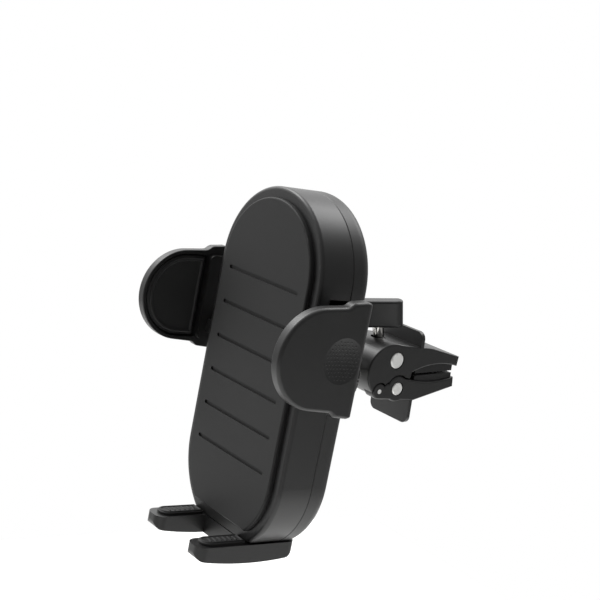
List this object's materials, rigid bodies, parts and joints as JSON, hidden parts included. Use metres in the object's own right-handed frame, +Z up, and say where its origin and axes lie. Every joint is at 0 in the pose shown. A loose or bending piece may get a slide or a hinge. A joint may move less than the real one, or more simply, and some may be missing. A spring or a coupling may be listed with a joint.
{
  "type": "car phone holder",
  "caption": "Vent-clip car phone holder with a pill-shaped cradle, coupled side arms, sliding feet, a ball joint with a collar nut and a screw-clamped vent clip",
  "frame": {"origin": "middle of the face that the phone's back rests on", "axes": "+Z up the phone, +Y from the phone to the vent, +X to the right of someone who looks at the screen"},
  "size_m": [0.0792, 0.0979, 0.113],
  "materials": {
    "black_plastic": "moulded nylon, fine matt texture",
    "shell_plastic": "moulded plastic with a soft sheen",
    "liner_plastic": "natural acetal, as moulded",
    "soft_rubber": "matt silicone rubber",
    "satin_steel": "satin steel with turned ends",
    "turned_steel": "smooth turned steel",
    "plated_steel": "nickel plate",
    "black_steel": "black oxide"
  },
  "bodies": {
    "clip": {"clip_body": "black_plastic", "upper_jaw_pad": "soft_rubber", "ball_stud": "turned_steel", "hinge_pin": "satin_steel"},
    "swivel": {"swivel_bush": "satin_steel"},
    "screw": {"clamp_screw": "plated_steel", "retaining_ring": "satin_steel", "thumb_knob": "black_plastic"},
    "lower_jaw_set": {"lower_jaw": "black_plastic", "lower_jaw_pad": "soft_rubber"},
    "jaw_nut": {"nut_dowel": "satin_steel"},
    "liner": {"ball_liner": "liner_plastic"},
    "socket": {"ball_socket": "black_plastic", "socket_washer": "satin_steel", "socket_screw": "satin_steel"},
    "collar": {"ring_nut": "black_plastic"},
    "cradle": {"front_frame": "black_plastic", "rear_cover": "shell_plastic", "rest_pad": "soft_rubber", "cover_screws": "black_steel", "keeper_plate": "liner_plastic", "keeper_screws": "satin_steel", "gear_axle": "satin_steel", "return_spring": "satin_steel"},
    "right_clamp": {"right_arm": "black_plastic", "right_arm_pad": "soft_rubber"},
    "left_clamp": {"left_arm": "black_plastic", "left_arm_pad": "soft_rubber"},
    "pinion": {"sync_gear": "liner_plastic"},
    "button": {"release_button": "shell_plastic"},
    "pawl": {"release_pawl": "liner_plastic", "pawl_spring": "satin_steel"},
    "feet": {"foot_carrier": "black_plastic", "right_foot_pad": "soft_rubber", "left_foot_pad": "soft_rubber"}
  },
  "joints": [
    {"name": "screw_swivel", "type": "hinge", "parent": "clip", "child": "swivel", "pos_m": [0, 0.052, 0.0061], "axis": [-1, 0, 0], "range_deg": [-1, 4]},
    {"name": "screw_spin", "type": "hinge", "parent": "swivel", "child": "screw", "pos_m": [0, 0.052, 0.0061], "axis": [0, -0.2628, 0.9648], "range_deg": [-90, 1670]},
    {"name": "jaw_hinge", "type": "hinge", "parent": "clip", "child": "lower_jaw_set", "pos_m": [0, 0.04709, -0.00439], "axis": [-1, 0, 0], "range_deg": [-1.2, 18.5]},
    {"name": "nut_swivel", "type": "hinge", "parent": "lower_jaw_set", "child": "jaw_nut", "pos_m": [0, 0.05459, -0.0034], "axis": [-1, 0, 0], "range_deg": [-16, 2]},
    {"name": "pan", "type": "hinge", "parent": "clip", "child": "liner", "pos_m": [0, 0.031, 0], "axis": [0, 0, 1], "range_deg": [-15, 15]},
    {"name": "tilt", "type": "hinge", "parent": "liner", "child": "socket", "pos_m": [0, 0.031, 0], "axis": [1, 0, 0], "range_deg": [-15, 15]},
    {"name": "collar_turn", "type": "hinge", "parent": "socket", "child": "collar", "pos_m": [0, 0.031, 0], "axis": [0, 1, 0], "range_deg": [-90, 90]},
    {"name": "spin", "type": "hinge", "parent": "socket", "child": "cradle", "pos_m": [0, 0.031, 0], "axis": [0, 1, 0], "continuous": true},
    {"name": "right_arm_slide", "type": "slide", "parent": "cradle", "child": "right_clamp", "axis": [1, 0, 0], "range_m": [-0.00775, 0.01025]},
    {"name": "left_arm_slide", "type": "slide", "parent": "cradle", "child": "left_clamp", "axis": [1, 0, 0], "range_m": [-0.0103, 0.0078]},
    {"name": "pinion_turn", "type": "hinge", "parent": "cradle", "child": "pinion", "pos_m": [0, 0.008, 0.0135], "axis": [0, 1, 0], "range_deg": [-75, 99]},
    {"name": "button_push", "type": "slide", "parent": "cradle", "child": "button", "axis": [0, -1, 0], "range_m": [0, 0.0016], "stiffness_N_per_m": 400},
    {"name": "pawl_lift", "type": "slide", "parent": "cradle", "child": "pawl", "axis": [0, 0, 1], "range_m": [0, 0.0017], "deforming": ["pawl_spring"]},
    {"name": "foot_slide", "type": "slide", "parent": "cradle", "child": "feet", "axis": [0, 0, 1], "range_m": [-0.012, 0]}
  ],
  "couplings": [
    {"joint": "jaw_hinge", "follows": "screw_spin", "ratio": 0.010754},
    {"joint": "screw_swivel", "follows": "screw_spin", "ratio": 0.0017744},
    {"joint": "nut_swivel", "follows": "screw_spin", "ratio": -0.0089796},
    {"joint": "left_arm_slide", "follows": "right_arm_slide", "ratio": -1},
    {"joint": "pinion_turn", "follows": "right_arm_slide", "rad_per_m": 166.67},
    {"joint": "pawl_lift", "follows": "button_push", "ratio": 1}
  ]
}
